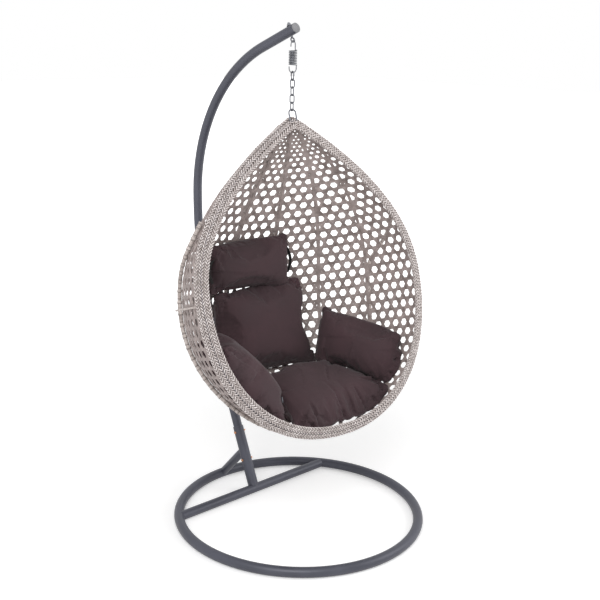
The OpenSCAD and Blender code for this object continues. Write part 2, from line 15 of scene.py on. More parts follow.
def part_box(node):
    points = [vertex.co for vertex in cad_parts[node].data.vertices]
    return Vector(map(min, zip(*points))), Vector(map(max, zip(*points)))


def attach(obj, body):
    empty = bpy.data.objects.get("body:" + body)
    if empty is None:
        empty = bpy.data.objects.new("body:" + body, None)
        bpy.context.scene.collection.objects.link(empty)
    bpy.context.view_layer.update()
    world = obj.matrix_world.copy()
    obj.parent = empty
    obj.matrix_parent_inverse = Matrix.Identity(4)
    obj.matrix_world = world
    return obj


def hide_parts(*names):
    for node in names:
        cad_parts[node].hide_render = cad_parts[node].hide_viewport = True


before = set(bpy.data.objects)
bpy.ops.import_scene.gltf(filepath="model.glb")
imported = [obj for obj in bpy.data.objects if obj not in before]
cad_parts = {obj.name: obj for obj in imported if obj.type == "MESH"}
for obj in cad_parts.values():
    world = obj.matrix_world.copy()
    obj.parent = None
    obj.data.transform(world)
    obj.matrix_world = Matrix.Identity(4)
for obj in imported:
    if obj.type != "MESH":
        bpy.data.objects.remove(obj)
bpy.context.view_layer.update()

# %% [markdown]
# The basket is easiest to describe hanging straight, with its tip at the origin: x across the
# opening, u towards the back, v down from the tip. One matrix then leans it back by 18 degrees
# and turns it 12 degrees about the chain.

# %% Where the basket hangs
TIP_AT, CHAIN_TURN, LEAN = (0, 0.091, 1.64472), math.radians(12), math.radians(18)
BASKET = (Matrix.Translation(TIP_AT) @ Matrix.Rotation(-CHAIN_TURN, 4, "Z")
          @ Matrix.Rotation(-LEAN, 4, "X"))
# how far down the outline starts, is widest and is deepest
TIP_V, WIDE_V, DEEP_V = 0.008, 0.669, 0.760
# the egg's half width, depth and height, the wall's lowest point, and how far back its edge is
EGG_W, EGG_D, EGG_H = 0.498, 0.590, 1.238
SHELL_H = EGG_H - 0.016
EDGE_U = 0.019
# how full the outline's curves are: 2 is an ellipse
WIDE_TOP, WIDE_LOW = 2.1, 2.18
DEEP_TOP, DEEP_SHARP, DEEP_LOW = 1.7, 1.2, 1.75
# the stretch that the depth is averaged over, and how it fades in below the tip and out at the end
BLEND, BLEND_FROM, BLEND_IN, BLEND_OUT = 0.030, 0.040, 0.400, 0.330
# the step that a normal is measured over: an angle and a height
TURN_STEP, DOWN_STEP = 0.0035, 0.0005


def half_width(v):
    if v <= WIDE_V:
        return EGG_W * (1 - max(0, 1 - (v - TIP_V) / (WIDE_V - TIP_V)) ** WIDE_TOP)
    return EGG_W * max(0, 1 - ((v - WIDE_V) / (SHELL_H - WIDE_V)) ** WIDE_LOW) ** (1 / WIDE_LOW)


def plain_depth(v):
    if v <= DEEP_V:
        return EGG_D * max(0, 1 - max(0, 1 - v / DEEP_V) ** DEEP_TOP) ** DEEP_SHARP
    return EGG_D * max(0, 1 - ((v - DEEP_V) / (SHELL_H - DEEP_V)) ** DEEP_LOW) ** (1 / DEEP_LOW)


def depth(v):
    """The plain depth, averaged over five heights so that its two curves meet smoothly."""
    h = BLEND * min(1, max(0, v - BLEND_FROM) / BLEND_IN, max(0, SHELL_H - v) / BLEND_OUT)
    return sum(w * plain_depth(v + k * h) for w, k in zip((1, 2, 3, 2, 1), (-2, -1, 0, 1, 2))) / 9


def on_egg(v, a):
    """The wall's middle at height v and angle a, which is 0 at the back."""
    return Vector((half_width(v) * math.sin(a), depth(v) * math.cos(a), -v))


def egg_at(v, a, out):
    """A point out metres outside the wall's middle."""
    across = on_egg(v, a + TURN_STEP) - on_egg(v, a - TURN_STEP)
    down = on_egg(v + DOWN_STEP, a) - on_egg(v - DOWN_STEP, a)
    return on_egg(v, a) + out * across.cross(down).normalized()


print("widest", round(2 * half_width(WIDE_V), 3), "deepest", round(depth(DEEP_V), 3))

# %% [markdown]
# Shared effects are node groups that give a value or a colour, and each material sets its own
# numbers. Two are needed almost everywhere: a mottled colour, because nothing real is one flat
# colour, and a fine grain for the bump.

# %% Shared node groups


def new_group(name, inputs, outputs):
    g = bpy.data.node_groups.new(name, "ShaderNodeTree")
    for n, kind, value in inputs:
        s = g.interface.new_socket(name=n, in_out="INPUT", socket_type=kind)
        s.default_value = value
    for n, kind in outputs:
        g.interface.new_socket(name=n, in_out="OUTPUT", socket_type=kind)
    return g, g.nodes.new("NodeGroupInput"), g.nodes.new("NodeGroupOutput")


mottle, group_in, group_out = new_group(
    "Mottled colour",
    [("Dark", "NodeSocketColor", (0, 0, 0, 1)), ("Light", "NodeSocketColor", (1, 1, 1, 1)),
     ("Scale", "NodeSocketFloat", 8.0)],
    [("Color", "NodeSocketColor"), ("Mask", "NodeSocketFloat")])
coords = mottle.nodes.new("ShaderNodeTexCoord")
clouds = mottle.nodes.new("ShaderNodeTexNoise")
clouds.inputs["Detail"].default_value = 5
contrast = mottle.nodes.new("ShaderNodeMapRange")
contrast.inputs["From Min"].default_value = 0.32
contrast.inputs["From Max"].default_value = 0.68
mixed = mottle.nodes.new("ShaderNodeMix")
mixed.data_type = "RGBA"
link = mottle.links.new
link(coords.outputs["Object"], clouds.inputs["Vector"])
link(group_in.outputs["Scale"], clouds.inputs["Scale"])
link(clouds.outputs["Fac"], contrast.inputs["Value"])
link(contrast.outputs["Result"], mixed.inputs["Factor"])
link(group_in.outputs["Dark"], mixed.inputs["A"])
link(group_in.outputs["Light"], mixed.inputs["B"])
link(mixed.outputs["Result"], group_out.inputs["Color"])
link(contrast.outputs["Result"], group_out.inputs["Mask"])

grain, group_in, group_out = new_group(
    "Fine grain", [("Scale", "NodeSocketFloat", 600.0), ("Stretch", "NodeSocketVector", (1, 1, 1))],
    [("Height", "NodeSocketFloat")])
coords = grain.nodes.new("ShaderNodeTexCoord")
stretch = grain.nodes.new("ShaderNodeVectorMath")
stretch.operation = "MULTIPLY"
clouds = grain.nodes.new("ShaderNodeTexNoise")
clouds.inputs["Detail"].default_value = 3
link = grain.links.new
link(coords.outputs["Object"], stretch.inputs[0])
link(group_in.outputs["Stretch"], stretch.inputs[1])
link(stretch.outputs["Vector"], clouds.inputs["Vector"])
link(group_in.outputs["Scale"], clouds.inputs["Scale"])
link(clouds.outputs["Fac"], group_out.inputs["Height"])
print("groups", [g.name for g in bpy.data.node_groups])

# %% [markdown]
# A finish is one Principled shader. Its colour comes from the mottle, its bump from the grain,
# and the plain numbers (metal, sheen) sit on the shader itself. A twisted cord and a wound rib
# also get painted shade, a darker colour where a strand dives in, from the piece's own attribute.

# %% The finishes
# how far a finish's roughness goes to each side of its own, and how high its grain stands
ROUGH_VARIES, GRAIN_HIGH = 0.08, 0.0004
WICKER_DARK, WICKER_LIGHT = (0.400, 0.342, 0.316), (0.740, 0.664, 0.628)


def finish(name, dark, light, scale, rough, metal=0.0, bump=0.15, grain_scale=600, sheen=0.0,
           painted_shade_colour=None):
    """dark and light are the mottle's two colours, and the last argument is the colour of the painted
    shade down in a winding.
    """
    material = bpy.data.materials.new(name)
    material.use_nodes = True
    tree = material.node_tree
    shader = tree.nodes["Principled BSDF"]
    shader.inputs["Metallic"].default_value = metal
    shader.inputs["Sheen Weight"].default_value = sheen
    shader.inputs["Sheen Roughness"].default_value = 0.5
    colour = tree.nodes.new("ShaderNodeGroup")
    colour.node_tree = mottle
    colour.inputs["Dark"].default_value = (*dark, 1)
    colour.inputs["Light"].default_value = (*light, 1)
    colour.inputs["Scale"].default_value = scale
    height = tree.nodes.new("ShaderNodeGroup")
    height.node_tree = grain
    height.inputs["Scale"].default_value = grain_scale
    roughness = tree.nodes.new("ShaderNodeMapRange")
    roughness.inputs["To Min"].default_value = rough - ROUGH_VARIES
    roughness.inputs["To Max"].default_value = rough + ROUGH_VARIES
    normal = tree.nodes.new("ShaderNodeBump")
    normal.inputs["Strength"].default_value = bump
    normal.inputs["Distance"].default_value = GRAIN_HIGH
    shown = colour.outputs["Color"]
    # painted shade: the piece's attribute mixes its colour towards a darker one where a strand dives
    # in
    if painted_shade_colour:
        free_of_painted_shade = tree.nodes.new("ShaderNodeAttribute")
        free_of_painted_shade.attribute_name = "free_of_painted_shade"
        painted_shade_mix = tree.nodes.new("ShaderNodeMix")
        painted_shade_mix.data_type = "RGBA"
        painted_shade_mix.inputs["A"].default_value = (*painted_shade_colour, 1)
        tree.links.new(free_of_painted_shade.outputs["Fac"], painted_shade_mix.inputs["Factor"])
        tree.links.new(shown, painted_shade_mix.inputs["B"])
        shown = painted_shade_mix.outputs["Result"]
    tree.links.new(shown, shader.inputs["Base Color"])
    tree.links.new(colour.outputs["Mask"], roughness.inputs["Value"])
    tree.links.new(roughness.outputs["Result"], shader.inputs["Roughness"])
    tree.links.new(height.outputs["Height"], normal.inputs["Height"])
    tree.links.new(normal.outputs["Normal"], shader.inputs["Normal"])
    return material


powder = finish("Powder-coated steel", (0.054, 0.056, 0.074), (0.082, 0.085, 0.110), 5, 0.44,
                metal=0.2, bump=0.25, grain_scale=900)
plug = finish("Grey end plug", (0.17, 0.17, 0.18), (0.24, 0.24, 0.25), 30, 0.6)
copper = finish("Copper-washed bolt", (0.34, 0.15, 0.07), (0.62, 0.30, 0.16), 90, 0.34, metal=0.9)
zinc = finish("Zinc-plated steel", (0.085, 0.088, 0.100), (0.190, 0.195, 0.215), 60, 0.40, metal=0.6,
              bump=0.1)
cane = finish("Greige wicker", (0.232, 0.188, 0.176), (0.468, 0.394, 0.376), 34, 0.6, bump=0.4,
              grain_scale=260)
# the pale cord's last colour is a painted shade down in its twist
rim_cord = finish("Pale wicker cord with painted shade", (0.500, 0.436, 0.418), (0.960, 0.895, 0.880), 60, 0.58,
                  bump=0.45, grain_scale=320, painted_shade_colour=(0.210, 0.172, 0.158))
wrap = finish("Wound wicker", WICKER_DARK, WICKER_LIGHT, 40, 0.58, bump=0.4, grain_scale=260)
# the bound rib's last colour is a painted shade beside its rings and in its grooves
bound = finish("Bound wicker with painted shade", WICKER_DARK, WICKER_LIGHT, 40, 0.58, bump=0.4, grain_scale=260,
               painted_shade_colour=(0.120, 0.098, 0.088))
cloth = finish("Aubergine-brown cloth", (0.036, 0.0172, 0.0212), (0.059, 0.0305, 0.0362), 7, 0.88,
               bump=0.5, grain_scale=1500, sheen=0.08)
webbing = finish("Black webbing", (0.008, 0.008, 0.008), (0.022, 0.022, 0.022), 120, 0.8)
print("finishes", [m.name for m in bpy.data.materials])

# %% The stand, the hardware and the straps keep their CAD solids


def dress(name, material):
    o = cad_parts[name]
    o.data.materials.clear()
    o.data.materials.append(material)


DRESSED = (
    (powder, ["base_ring", "cross_bar", "post_socket", "rear_brace", "pole_lower", "pole_sleeve",
              "pole_upper", "rim_tube"]),
    (plug, ["pole_cap"]),
    (copper, ["socket_bolts", "socket_nuts"]),
    (zinc, ["eyebolt", "eyebolt_washer", "eyebolt_nut", "hanging_eye", "spring", "zip_pull"]
     + ["chain_link_%d" % k for k in range(1, 6)]),
    (webbing, ["pillow_strap_left", "pillow_strap_right"]))
for material, names in DRESSED:
    for name in names:
        dress(name, material)
print("dressed", sum(len(names) for material, names in DRESSED), "nodes")

# %% [markdown]
# ## The open cane wall
# Open cane is three sets of strips, level and leaning 60 degrees each way, that leave hexagonal
# holes. Each strip goes over one neighbour and under the next. It could be a picture of holes on
# a plain skin, but then its edges and shadows would be missing. Here it is woven flat, strip by
# strip, one panel for each space between two ribs, and then laid on the egg. The holes run out at
# the ribs as a panel narrows, and the rows draw together towards the tip until only slits are
# left. A narrow strip binds each panel's edge along its rib, inside and outside.

# %% Levels of the weave
# from hole to hole along a row, and from row to row
PITCH = 0.0456
ROW = PITCH * math.sqrt(3) / 2
# a strip's width and thickness, and how far it rises and dips past the others
STRIP, STRIP_THICK, LIFT = 0.0116, 0.0022, 0.0007
# what a strip does as the weave closes up: at 0 it narrows with it, at 1 it keeps its width
STRIP_KEEPS = 0.6
# the binding strips: their width, their heights inside and outside, and a panel's gap to its rib
BINDING, BINDING_LIFTS, SEAM = 0.0060, (-0.0012, 0.0014), 0.0030
# the heights that the weave starts and ends at
V0, V1 = 0.036, 1.190
# the weave's scale at the tip, what the belly adds, and the heights over which it opens
TIP_TIGHT, BELLY_MORE, OPENS_FROM, OPENS_OVER = 0.34, 0.66, 0.030, 0.270
RIB_ANGLES = (-60, -36, -12, 12, 36, 60)
PANELS = len(RIB_ANGLES) + 1
# the wall's edge stands at least this far round, and a panel is at least this wide, halved
LEAST_EDGE, LEAST_SPAN = 1.06, 0.003
# the line down the wall that the rows are spaced along, and the number of steps down it
ALONG, STEPS = 0.75, 400


def tight(v):
    """The weave's scale at v: 1 in the belly, about a third at the tip, where it is tight."""
    k = min(1, max(0, (v - OPENS_FROM) / OPENS_OVER))
    return TIP_TIGHT + BELLY_MORE * k * k * (3 - 2 * k)


vs = [V0 + (V1 - V0) * k / STEPS for k in range(STEPS + 1)]
run = [0.0]
for a, b in zip(vs, vs[1:]):
    run.append(run[-1] + (on_egg(b, ALONG) - on_egg(a, ALONG)).length / tight((a + b) / 2))
ROWS = round(run[-1] / ROW)
TALL = ROWS * ROW


def v_of(y):
    """The height on the egg of a level y of the flat sheet."""
    want = min(max(y / TALL, 0), 1) * run[-1]
    lo, hi = 0, STEPS
    while hi - lo > 1:
        mid = (lo + hi) // 2
        lo, hi = (mid, hi) if run[mid] <= want else (lo, mid)
    return vs[lo] + (vs[hi] - vs[lo]) * (want - run[lo]) / max(1e-9, run[hi] - run[lo])


def edge_angle(v):
    return math.acos(min(1, EDGE_U / depth(v)))


def panel_edges(panel, v):
    """The two angles that a panel lies between at v: at a rib, or at the wall's edge."""
    edge = max(edge_angle(v), LEAST_EDGE)
    cuts = [-edge] + [math.radians(c) for c in RIB_ANGLES] + [edge]
    return cuts[panel], cuts[panel + 1]


def half_span(panel, v):
    """Half a panel's width at v, short of its ribs."""
    a, b = panel_edges(panel, v)
    mid = (a + b) / 2
    long = (on_egg(v, mid) - on_egg(v, a)).length + (on_egg(v, b) - on_egg(v, mid)).length
    return max(LEAST_SPAN, long / 2 - SEAM)


print("rows", ROWS, "back panel", round(2 * half_span(PANELS // 2, WIDE_V), 3), "wide")

# %% Weave one panel flat


def strip(bm, length, parts, first_up, matrix):
    """A strip of parts faces along the matrix's x, which rises and dips from point to point."""
    made = bmesh.ops.create_grid(bm, x_segments=parts, y_segments=1, size=0.5)["verts"]
    across = matrix.to_3x3() @ Vector((0, STRIP, 0))
    for q in made:
        k = round((q.co.x + 0.5) * parts)
        mid = matrix @ Vector((q.co.x * length, 0, LIFT * (1 if (k + first_up) % 2 == 0 else -1)))
        q.co = mid + across * q.co.y * tight(v_of(mid.y)) ** -STRIP_KEEPS


def weave(columns):
    """Level strips, then both leaning sets, on a flat sheet that is columns holes wide."""
    bm = bmesh.new()
    for r in range(1, ROWS):
        strip(bm, (columns + 0.5) * PITCH, 2 * columns + 1, r % 2, Matrix.Translation((0, r * ROW, 0)))
    reach = int(ROWS / 4 + columns / 2) + 2
    for k in range(-reach, reach + 1):
        for side in (1, -1):
            at = Matrix.Translation((k * PITCH + side * PITCH / 4, ROWS // 2 * ROW, 0))
            turn = Matrix.Rotation(math.radians(60 if side > 0 else 120), 4, "Z")
            strip(bm, TALL * 2 / math.sqrt(3), 2 * ROWS, 1 if side > 0 else 0, at @ turn)
    return bm


def trim(bm, co, no):
    """Cut off what lies past a plane through co, on the side that no points to."""
    bmesh.ops.bisect_plane(bm, geom=bm.verts[:] + bm.edges[:] + bm.faces[:], plane_co=co,
                           plane_no=no, clear_outer=True)


# %% Lay each panel between its ribs
# the number of levels that a panel's width is worked out at
LEVELS = 120


def lay_panel(panel):
    """Weave a panel, fit each level between its ribs, bind its edges and lay it on the egg."""
    span = max(half_span(panel, v) / tight(v) for v in vs[::10])
    bm = weave(2 * math.ceil(span / PITCH) + 2)
    trim(bm, (0, TALL, 0), (0, 1, 0))
    trim(bm, (0, 0, 0), (0, -1, 0))
    trim(bm, (span + PITCH, 0, 0), (1, 0, 0))
    trim(bm, (-span - PITCH, 0, 0), (-1, 0, 0))
    levels = [v_of(TALL * k / LEVELS) for k in range(LEVELS + 1)]
    table = [half_span(panel, v) / tight(v) for v in levels]
    for q in bm.verts:
        k = min(LEVELS - 1, max(0, int(q.co.y / TALL * LEVELS)))
        t = q.co.y / TALL * LEVELS - k
        q.co.x /= table[k] * (1 - t) + table[k + 1] * t
    trim(bm, (1, 0, 0), (1, 0, 0))
    trim(bm, (-1, 0, 0), (-1, 0, 0))
    for side in (-1, 1):
        for lift in BINDING_LIFTS:
            for q in bmesh.ops.create_grid(bm, x_segments=1, y_segments=3 * ROWS, size=0.5)["verts"]:
                y = (q.co.y + 0.5) * TALL
                q.co = (side + 2 * q.co.x * (BINDING / 2) / half_span(panel, v_of(y)), y, lift)
    for q in bm.verts:
        x, y, z = q.co
        v = v_of(y)
        a, b = panel_edges(panel, v)
        share = half_span(panel, v) / (half_span(panel, v) + SEAM)
        q.co = BASKET @ egg_at(v, a + (b - a) * (x * share + 1) / 2, z)
    return bm


def to_object(name, source, material, smooth=True):
    """A new object of a bmesh, which is freed."""
    me = bpy.data.meshes.new(name)
    source.to_mesh(me)
    source.free()
    o = bpy.data.objects.new(name, me)
    bpy.context.scene.collection.objects.link(o)
    me.materials.append(material)
    for p in me.polygons:
        p.use_smooth = smooth
    return o


# %% Join the seven panels into the wall
bm = bmesh.new()
for panel in range(PANELS):
    part = lay_panel(panel)
    me = bpy.data.meshes.new("panel")
    part.to_mesh(me)
    part.free()
    bm.from_mesh(me)
    bpy.data.meshes.remove(me)
bmesh.ops.recalc_face_normals(bm, faces=bm.faces[:])
wall = to_object("cane_wall", bm, cane, smooth=False)
thick = wall.modifiers.new("Thickness", "SOLIDIFY")
thick.thickness = STRIP_THICK
thick.offset = 0
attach(wall, "basket")
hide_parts("woven_shell")
print("wall", len(wall.data.polygons), "faces before its thickness")

# %% [markdown]
# ## Swept pieces
# Cords, ribs and the spring are all a round section carried along a path. A curve with a bevel
# does that in one step, and its point radius gives the raised rings where a rib is bound. The
# curve becomes a mesh at the end so that its place is in its mesh.

# %% A helper for swept pieces


def sweep(name, paths, radius, material, sides=1, closed=False):
    """A round section along each path of (point, share of the radius)."""
    curve = bpy.data.curves.new(name, "CURVE")
    curve.dimensions = "3D"
    curve.bevel_depth = radius
    curve.bevel_resolution = sides
    curve.use_fill_caps = not closed
    curve.twist_mode = "MINIMUM"
    for path in paths:
        line = curve.splines.new("POLY")
        line.points.add(len(path) - 1)
        for p, (place, share) in zip(line.points, path):
            p.co = (*place, 1)
            p.radius = share
        line.use_cyclic_u = closed
    o = bpy.data.objects.new(name + "_curve", curve)
    bpy.context.scene.collection.objects.link(o)
    bpy.context.view_layer.update()
    me = bpy.data.meshes.new_from_object(o.evaluated_get(bpy.context.evaluated_depsgraph_get()))
    bpy.data.objects.remove(o)
    me.name = name
    me.materials.clear()
    me.materials.append(material)
    for p in me.polygons:
        p.use_smooth = True
    o = bpy.data.objects.new(name, me)
    bpy.context.scene.collection.objects.link(o)
    print(name, len(me.polygons), "faces")
    return o


def free_of_painted_shade(piece, values):
    """Give each point its share of the full colour against a painted shade: 0 where it dives in and is
    painted dark, 1 where it stands out.
    """
    share = piece.data.attributes.new("free_of_painted_shade", "FLOAT", "POINT")
    share.data.foreach_set("value", values)


# %% [markdown]
# ## The rim
# Seen close, the pale rim is many thin cords side by side, each twisted from two strands, and
# each twisted against its neighbour, so the rows read as a herringbone. Ten such cords wrap the
# band's rounded section. Each follows its own line round the egg, so at the tip the cords bend
# over one after the other, and the outer ones have the longer way round.

# %% The rim's outline
# the band's middle inside the outline, its width and thickness, and how it slants
BAND_IN, BAND_W, BAND_T, SLANT = 0.0185, 0.056, 0.019, math.radians(30)
# the points that the outline is drawn with, and those that half of it is then spread over
OUTLINE_STEPS, HALF_POINTS = 600, 640


def rim_outline(s):
    """s from 0 at the tip to 1 at the bottom of the right half: (x, v)."""
    if s <= 0.5:
        v = TIP_V + (WIDE_V - TIP_V) * s * 2
        return Vector((half_width(v), v))
    q = (s - 0.5) * math.pi
    return Vector((EGG_W * max(0, math.cos(q)) ** (2 / WIDE_LOW),
                   WIDE_V + (EGG_H - WIDE_V) * max(0, math.sin(q)) ** (2 / WIDE_LOW)))


outline = [rim_outline(k / OUTLINE_STEPS) for k in range(OUTLINE_STEPS + 1)]


def spread(line, count, closed):
    """count points at even distances along a line, and the line's length."""
    ends = line[1:] + line[:1] if closed else line[1:]
    far = [0.0]
    for a, b in zip(line, ends):
        far.append(far[-1] + (b - a).length)
    out, k = [], 0
    for i in range(count):
        d = far[-1] * i / (count if closed else count - 1)
        while k < len(ends) - 1 and far[k + 1] < d:
            k += 1
        out.append(line[k].lerp(ends[k], (d - far[k]) / max(1e-9, far[k + 1] - far[k])))
    return out, far[-1]


half, half_long = spread(outline, HALF_POINTS, False)
print("half the rim is", round(half_long, 3), "m long")

# %% One cord's line, beside the outline
# the points of a cord, the rounds of smoothing at its tip, and how far from the tip they reach
POINTS, ROUND_TIP, ROUND_REACH = 1400, 34, 0.045
# the halves are carried past the tip in steps, in millimetres, and cut where they meet
PAST_TIP, PAST_STEP, MEET_X = 60, 3, 0.0008


def cord_line(out):
    """The closed line out metres outside the outline, with its tip rounded, and its length."""
    t = (half[2] - half[0]).normalized()
    line = [half[0] + t * d / 1000 + Vector((t.y, -t.x)) * out
            for d in range(-PAST_TIP, 0, PAST_STEP)]
    for k, p in enumerate(half):
        t = (half[min(k + 1, len(half) - 1)] - half[max(k - 1, 0)]).normalized()
        line.append(p + Vector((t.y, -t.x)) * out)
    line = [p for p in line if p.x > MEET_X]
    line, long = spread(line + [Vector((-p.x, p.y)) for p in reversed(line)], POINTS, True)
    near = int(ROUND_REACH / long * POINTS)
    for step in range(ROUND_TIP):
        line = [(line[k - 1] + 2 * p + line[(k + 1) % POINTS]) / 4
                if min(k, POINTS - k) < near else p for k, p in enumerate(line)]
    return line, long


# %% Lay ten twisted cords round the band
# the cords, a strand's radius and its distance from its cord's middle, and the length of a turn
CORDS, PLY, PLY_OFF, TWIST = 10, 0.0026, 0.0029, 0.024
# a cord's middle lies this far inside the band's face, and each cord's twist starts later
CORD_IN, CORD_SHIFT = 0.0053, 0.9
# the twist is uneven: by how many radians, how often along a cord, and how cords differ
UNEVEN, UNEVEN_SCALE, UNEVEN_APART = 1.1, 22, 5.3
# painted shade darkens a strand near its cord's middle; it has its full colour where it stands out of
# its cord by this much and a little more
PAINTED_SHADE_TO, PAINTED_SHADE_FADE = 0.0032, 0.0020
core = (BAND_W - BAND_T) / 2
rad = BAND_T / 2 - CORD_IN
around = 4 * core + 2 * math.pi * rad


def band_spot(w):
    """A point w metres round the rounded section: (across, through)."""
    w %= around
    if w < 2 * core:
        return core - w, rad
    w -= 2 * core
    if w < math.pi * rad:
        a = math.pi / 2 + w / rad
        return -core + rad * math.cos(a), rad * math.sin(a)
    w -= math.pi * rad
    if w < 2 * core:
        return -core + w, -rad
    a = -math.pi / 2 + (w - 2 * core) / rad
    return core + rad * math.cos(a), rad * math.sin(a)


ply_paths, middles = [], []
for c in range(CORDS):
    a0, b0 = band_spot(around * (c + 0.5) / CORDS)
    line, long = cord_line(-BAND_IN + a0 * math.cos(SLANT) - b0 * math.sin(SLANT))
    y0 = a0 * math.sin(SLANT) + b0 * math.cos(SLANT)
    turns, hand = round(long / TWIST), 1 if c % 2 else -1
    for ply in (0, 1):
        path = []
        for k, p in enumerate(line):
            t = (line[(k + 1) % POINTS] - line[k - 1]).normalized()
            spot = Vector((p.x * UNEVEN_SCALE, p.y * UNEVEN_SCALE, c * UNEVEN_APART))
            uneven = noise.noise(spot) * UNEVEN
            w = hand * 2 * math.pi * turns * k / POINTS + math.pi * ply + CORD_SHIFT * c + uneven
            q = p + Vector((t.y, -t.x)) * PLY_OFF * math.cos(w)
            path.append((BASKET @ Vector((q.x, y0 + PLY_OFF * math.sin(w), -q.y)), 1.0))
            middles.append(BASKET @ Vector((p.x, y0, -p.y)))
        ply_paths.append(path)
rim = sweep("rim_cords", ply_paths, PLY, rim_cord, sides=0, closed=True)
ring = len(rim.data.vertices) // len(middles)
print("rim ring of", ring, "points", len(rim.data.vertices) == ring * len(middles))
# painted shade: a strand is darkened where it lies near its cord's middle, where it dives in
free_of_painted_shade(rim, [min(1, max(0, ((v.co - middles[k // ring]).length - PAINTED_SHADE_TO) / PAINTED_SHADE_FADE))
                 for k, v in enumerate(rim.data.vertices)])
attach(rim, "basket")
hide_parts("rim_braid")

# %% [markdown]
# ## Ribs and hoop
# Each rib is a steel rod wound with wicker, with a raised ring every few centimetres. The rings
# come from the radius of the path's points.

# %% Wind the ribs
# a rib's middle lies outside the wall's middle by half the wall, the fit, and a little less
# than the winding's radius, so that the winding beds in
RIB_OUT = 0.002 + 0.0003 + 0.0088
# the winding's radius, its share between the rings, and what a ring adds
RIB_R, RIB_SHARE, RING_MORE = 0.0096, 0.84, 0.16
# from ring to ring, half a ring's length, and where the painted shade beside a ring is and how long
RIB_GAP, RING_LONG, RING_SHADE_AT, RING_SHADE_LONG = 0.045, 0.0045, 0.0085, 0.0022
# how dark the painted shade beside a ring is, how dark the painted shade in the grooves between turns
# is, and turns in radians a metre
RING_PAINTED_SHADE, GROOVE_PAINTED_SHADE, GROOVES = 0.8, 0.35, 900
# the heights that the ribs start and end at, and the depth by which they clear the wall's edge
RIB_TOP, SIDE_TOP, RIB_END, EDGE_CLEAR = 0.045, 0.385, 1.205, 0.012
# a side rib leaves the band this much nearer the edge, in degrees, and turns away over a height
SIDE_TURN, SIDE_TURN_OVER, SIDE_OUT = 23, 0.240, 0.0006
# no rib ends above this height, and the steps that a path is searched and kept at
LEAST_END, SEARCH, FINE = 0.7, 0.0009, 0.0025


def ease(t):
    k = min(1, max(0, t))
    return k * k * (3 - 2 * k)


def rib_path(angle):
    """A rib's path with its shares of the radius, and each point's share of its full colour against
    the painted shade beside the rings and in the grooves.
    """
    side = abs(angle) == max(RIB_ANGLES)
    top = SIDE_TOP if side else RIB_TOP
    need = (EDGE_U + EDGE_CLEAR) / math.cos(math.radians(angle))
    path, out_of_painted_shade, v, far = [], [], top, 0.0
    last = None
    while v < RIB_END and (depth(v) > need or v < LEAST_END):
        turn = SIDE_TURN * (1 - ease((v - top) / SIDE_TURN_OVER)) if side else 0
        a = math.radians(angle + math.copysign(turn, angle))
        p = BASKET @ egg_at(v, a, RIB_OUT + (SIDE_OUT if side else 0))
        if last is None or (p - last).length >= FINE:
            far += 0 if last is None else (p - last).length
            off = abs((far % RIB_GAP) - RIB_GAP / 2)
            path.append((p, RIB_SHARE + RING_MORE * math.exp(-(off / RING_LONG) ** 2)))
            # painted shade: darker beside each ring and in the grooves between turns
            out_of_painted_shade.append(1 - RING_PAINTED_SHADE * math.exp(-((off - RING_SHADE_AT) / RING_SHADE_LONG) ** 2)
                         - GROOVE_PAINTED_SHADE * (0.5 + 0.5 * math.sin(far * GROOVES)))
            last = p
        v += SEARCH
    return path, out_of_painted_shade


RIB_NAMES = ("rib_left_side", "rib_left_mid", "rib_left_back", "rib_right_back", "rib_right_mid",
             "rib_right_side")
for name, angle in zip(RIB_NAMES, RIB_ANGLES):
    path, out_of_painted_shade = rib_path(angle)
    rib = sweep("wound_" + name, [path], RIB_R, bound, sides=3)
    ring = len(rib.data.vertices) // len(path)
    # the rib's painted shade goes onto its points
    free_of_painted_shade(rib, [max(0, out_of_painted_shade[min(k // ring, len(out_of_painted_shade) - 1)])
                     for k in range(len(rib.data.vertices))])
    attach(rib, "basket")
    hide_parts(name)
dress("rear_hoop", wrap)

# %% [markdown]
# ## The spring
# The wire of a coil spring is round and bright along its outer side. The CAD wire has six flats,
# so a copy of it is merged, smoothed by one subdivision and shown in its place.

# %% Round off the spring's wire
bm = bmesh.new()
bm.from_mesh(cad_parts["spring"].data)
bmesh.ops.remove_doubles(bm, verts=bm.verts[:], dist=0.00002)
coil = to_object("coil_spring", bm, zinc)
round_off = coil.modifiers.new("Round wire", "SUBSURF")
round_off.levels = round_off.render_levels = 1
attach(coil, "spring_body")
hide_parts("spring")
print("spring", len(coil.data.polygons), "faces")

# %% [markdown]
# ## Cushions
# A cushion is two panels sewn along their edge and stuffed, so it is fullest in the middle, thin
# at the seam, and puckered where the cloth is gathered. The CAD pad gives the space. A copy is
# remeshed into even faces, held along its seam, and blown up a little with more cloth than it
# needs. Pleats and folds that run in from the seam are then pressed into it, and what would pass
# the wall is brought back inside. The left arm cushion is first drawn nearer the wall.

# %% Keep the cushions inside the wall
# where a cushion is slimmer than its pad: how much of its depth from the wall is left, high and
# low, and the height that the change starts at and is spread over
SLIM = {"arm_cushion_left": (0.70, 1.0)}
SLIM_FROM, SLIM_OVER = 0.780, 0.260
FROM_WALL = BASKET.inverted()
# a cushion's distance to the wall's middle, the least half width, and the heights it is held at
WALL_GAP, LEAST_HALF, HELD_FROM, HELD_SHORT = 0.0036, 0.004, 0.060, 0.002
# how a point outside is brought back: the tries, the longest step and the slope's measure
TRIES, LONGEST_STEP, SLOPE_STEP = 3, 0.020, 0.001


def beyond(q):
    """How far a point of the hanging basket is outside the wall: 0 on it, -1 in the middle."""
    v = min(max(-q.z, HELD_FROM), SHELL_H - HELD_SHORT)
    return math.hypot(q.x / max(LEAST_HALF, half_width(v) - WALL_GAP),
                      max(0, q.y) / max(LEAST_HALF, depth(v) - WALL_GAP)) - 1


